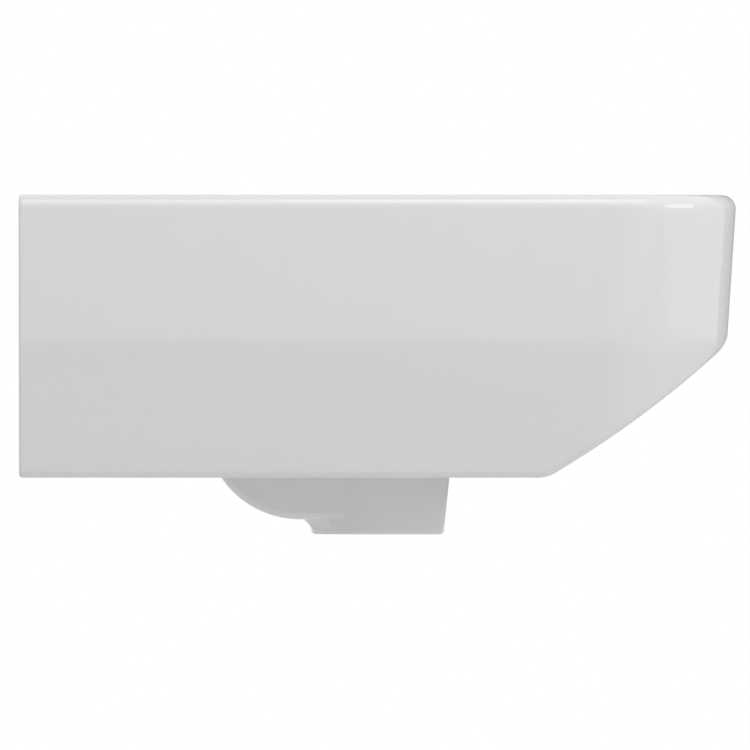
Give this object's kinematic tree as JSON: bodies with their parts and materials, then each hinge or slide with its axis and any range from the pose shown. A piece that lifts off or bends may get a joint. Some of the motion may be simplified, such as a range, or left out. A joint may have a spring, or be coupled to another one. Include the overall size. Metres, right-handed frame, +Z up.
{
  "type": "wall basin",
  "caption": "Wall-hung ceramic basin for a semi-pedestal: flat rim, soft side bend, sloping lower front, outlet boss with overflow duct, push-open waste.",
  "frame": {"origin": "on the wall face, midway between the two wall bolts", "axes": "+Z up, +Y into the wall, the basin's front at -Y, X along the width"},
  "size_m": [0.5998, 0.4599, 0.2189],
  "materials": {
    "china": "glossy white glaze",
    "chrome": "polished chrome plate",
    "brass": "turned",
    "rubber": "matt moulded",
    "white_plastic": "moulded",
    "spring_steel": "drawn wire"
  },
  "bodies": {
    "basin": {"basin_body": "china", "overflow_ring": "chrome", "waste_body": "chrome", "flange_gasket": "rubber", "lower_washer": "rubber", "slip_washer": "white_plastic", "backnut": "brass", "cartridge_body": "brass", "cartridge_bush": "brass", "cartridge_locknut": "brass", "plunger_spring": "spring_steel", "fixing_sleeves": "white_plastic"},
    "plug": {"plug_cap": "chrome", "plug_seal": "rubber", "plunger": "brass"}
  },
  "joints": [
    {"name": "plug_slide", "type": "slide", "parent": "basin", "child": "plug", "axis": [0, 0, 1], "range_m": [0, 0.008], "deforming": ["plunger_spring"]}
  ]
}
